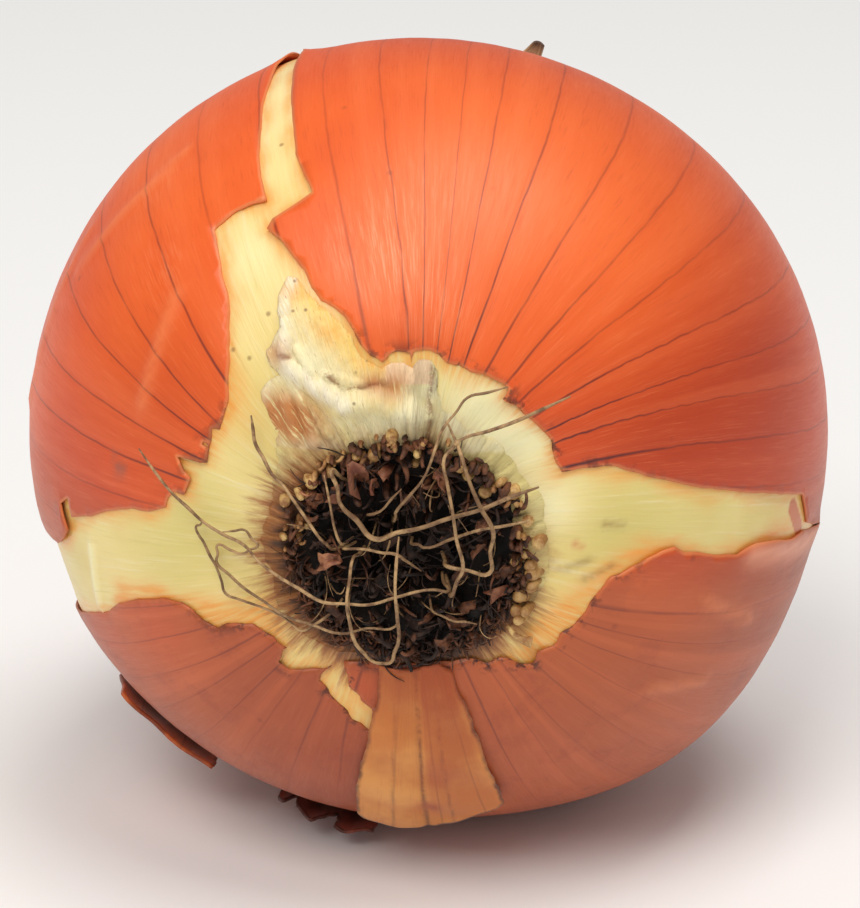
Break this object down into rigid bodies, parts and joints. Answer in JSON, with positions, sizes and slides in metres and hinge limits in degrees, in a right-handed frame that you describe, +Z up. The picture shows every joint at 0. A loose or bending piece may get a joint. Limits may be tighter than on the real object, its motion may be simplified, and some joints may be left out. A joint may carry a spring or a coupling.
{
  "type": "onion",
  "caption": "Whole brown onion lying on its side, papery outer skin torn open around a dry root end.",
  "frame": {"origin": "middle of the small flat spot on the skin that the onion rests on", "axes": "+Z up; the root end faces -Y and the neck points to +Y; +X to the right seen from the root end"},
  "size_m": [0.0805, 0.1, 0.0783],
  "materials": {
    "flesh": "moist pale yellow-green flesh, satin",
    "papery_skin": "thin papery skin, satin, fine dark veins",
    "dry_scale": "torn half-dry inner scale, cream and tan, fibrous",
    "old_skin": "brittle golden-brown old skin, matt",
    "dark_scrap": "brittle dark brown old skin, matt",
    "neck_leaf": "dry leaf ends, beige with grey-brown tips",
    "dry_root": "dry wiry roots, brown on dark soil-brown plate"
  },
  "bodies": {
    "root": {"bulb": "flesh", "outer_skin": "papery_skin", "torn_scale": "dry_scale", "front_strip": "old_skin", "left_remnant": "old_skin", "under_scrap": "dark_scrap", "neck_leaves": "neck_leaf", "roots": "dry_root"}
  },
  "joints": []
}
